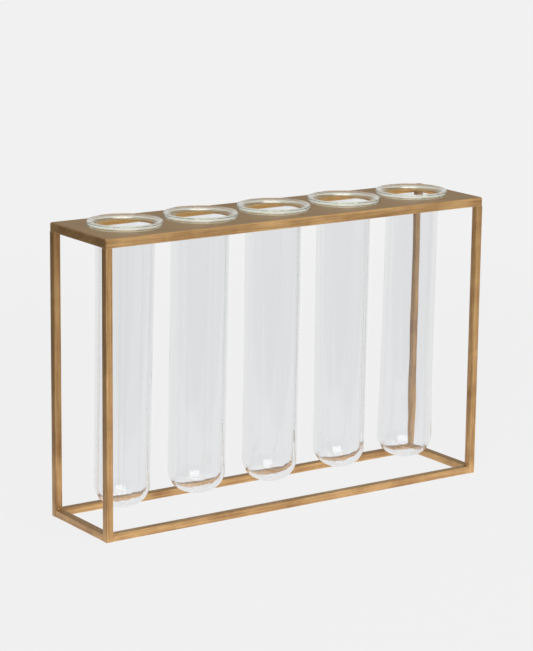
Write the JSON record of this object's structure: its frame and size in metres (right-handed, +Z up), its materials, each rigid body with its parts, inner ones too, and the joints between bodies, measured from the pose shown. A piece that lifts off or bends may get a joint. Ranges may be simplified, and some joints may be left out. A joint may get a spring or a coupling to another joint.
{
  "type": "test tube vase",
  "caption": "Flower vase made of a row of round-ended glass tubes that hang by their rims from holes in a slim rectangular metal stand.",
  "frame": {"origin": "on the table, below the middle of the stand", "axes": "+Z up, +X along the row of tubes, -Y the front"},
  "size_m": [0.3, 0.07, 0.1996],
  "materials": {
    "stand_metal": "satin antique gold",
    "weld_metal": "satin antique gold over weld",
    "tube_glass": "clear, fire polished"
  },
  "bodies": {
    "stand": {"top_tray": "stand_metal", "front_left_post": "stand_metal", "front_right_post": "stand_metal", "back_left_post": "stand_metal", "back_right_post": "stand_metal", "front_rail": "stand_metal", "back_rail": "stand_metal", "left_rail": "stand_metal", "right_rail": "stand_metal", "front_left_top_weld": "weld_metal", "front_right_top_weld": "weld_metal", "back_left_top_weld": "weld_metal", "back_right_top_weld": "weld_metal", "front_left_base_weld": "weld_metal", "front_right_base_weld": "weld_metal", "back_left_base_weld": "weld_metal", "back_right_base_weld": "weld_metal"},
    "tube_1": {"tube_1": "tube_glass"},
    "tube_2": {"tube_2": "tube_glass"},
    "tube_3": {"tube_3": "tube_glass"},
    "tube_4": {"tube_4": "tube_glass"},
    "tube_5": {"tube_5": "tube_glass"}
  },
  "joints": [
    {"name": "tube_1_lift", "type": "slide", "parent": "stand", "child": "tube_1", "axis": [0, 0, 1], "range_m": [0, 0.2]},
    {"name": "tube_2_lift", "type": "slide", "parent": "stand", "child": "tube_2", "axis": [0, 0, 1], "range_m": [0, 0.2]},
    {"name": "tube_3_lift", "type": "slide", "parent": "stand", "child": "tube_3", "axis": [0, 0, 1], "range_m": [0, 0.2]},
    {"name": "tube_4_lift", "type": "slide", "parent": "stand", "child": "tube_4", "axis": [0, 0, 1], "range_m": [0, 0.2]},
    {"name": "tube_5_lift", "type": "slide", "parent": "stand", "child": "tube_5", "axis": [0, 0, 1], "range_m": [0, 0.2]}
  ]
}
